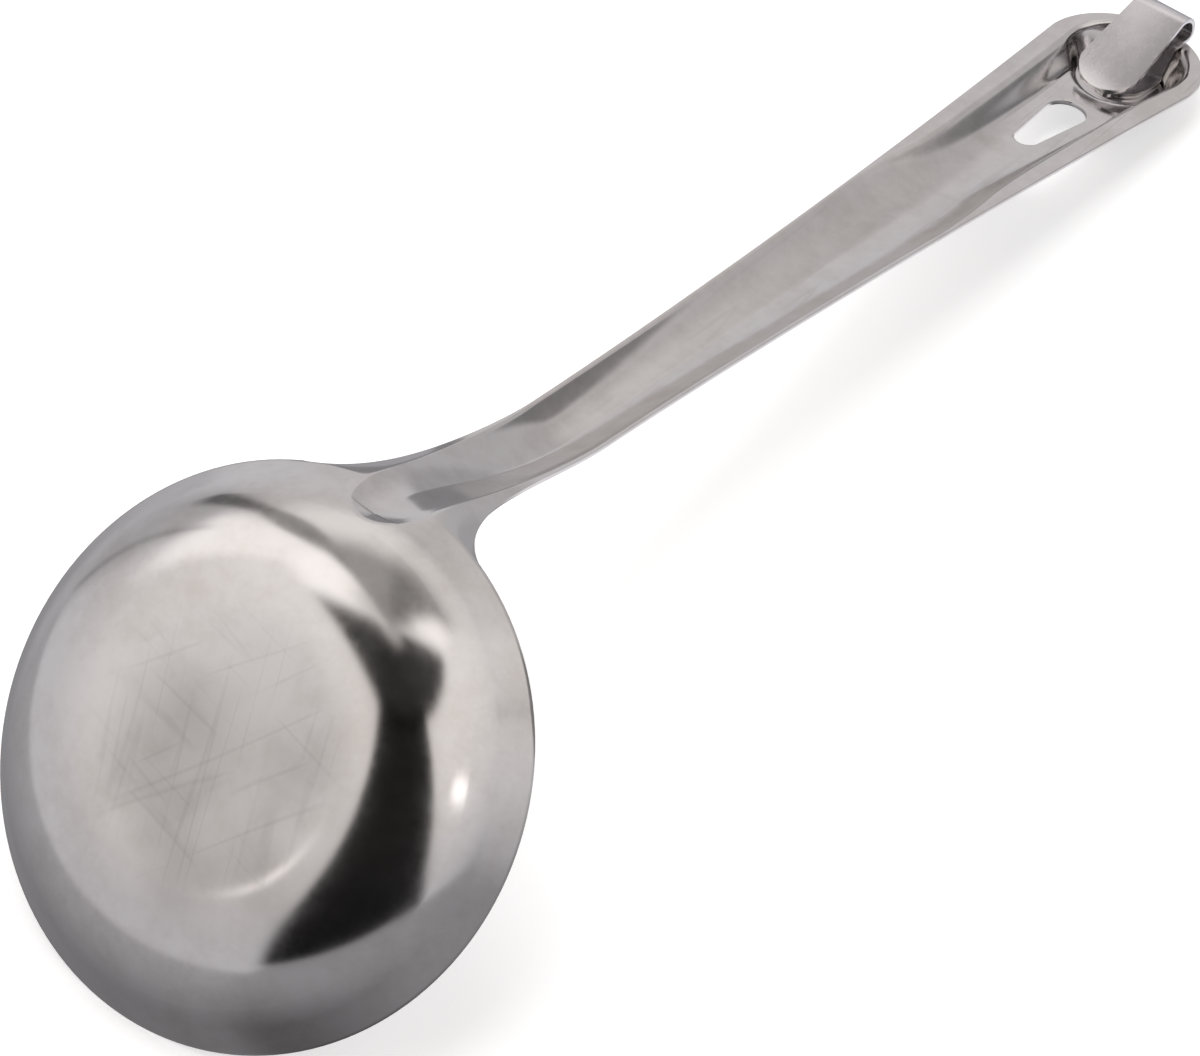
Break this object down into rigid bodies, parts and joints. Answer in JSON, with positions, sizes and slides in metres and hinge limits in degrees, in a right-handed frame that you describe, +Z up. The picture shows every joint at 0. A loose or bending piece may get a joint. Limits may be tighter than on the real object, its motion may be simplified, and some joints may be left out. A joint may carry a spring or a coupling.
{
  "type": "soup ladle",
  "caption": "Stainless soup ladle lying face down, with a channelled handle, a keyhole hanging hole and a strip pan hook.",
  "frame": {"origin": "centre of the bounding box at the table surface, in the pose in which the ladle lies face down on the far side of its rim and on the end of its handle", "axes": "+X along the ladle from the bowl to the end of the handle, +Z up from the table"},
  "size_m": [0.2728, 0.09, 0.0628],
  "materials": {
    "pressed_steel": "polished",
    "strip_steel": "satin"
  },
  "bodies": {
    "root": {"ladle_body": "pressed_steel", "pan_hook": "strip_steel", "spot_welds": "strip_steel"}
  },
  "joints": []
}
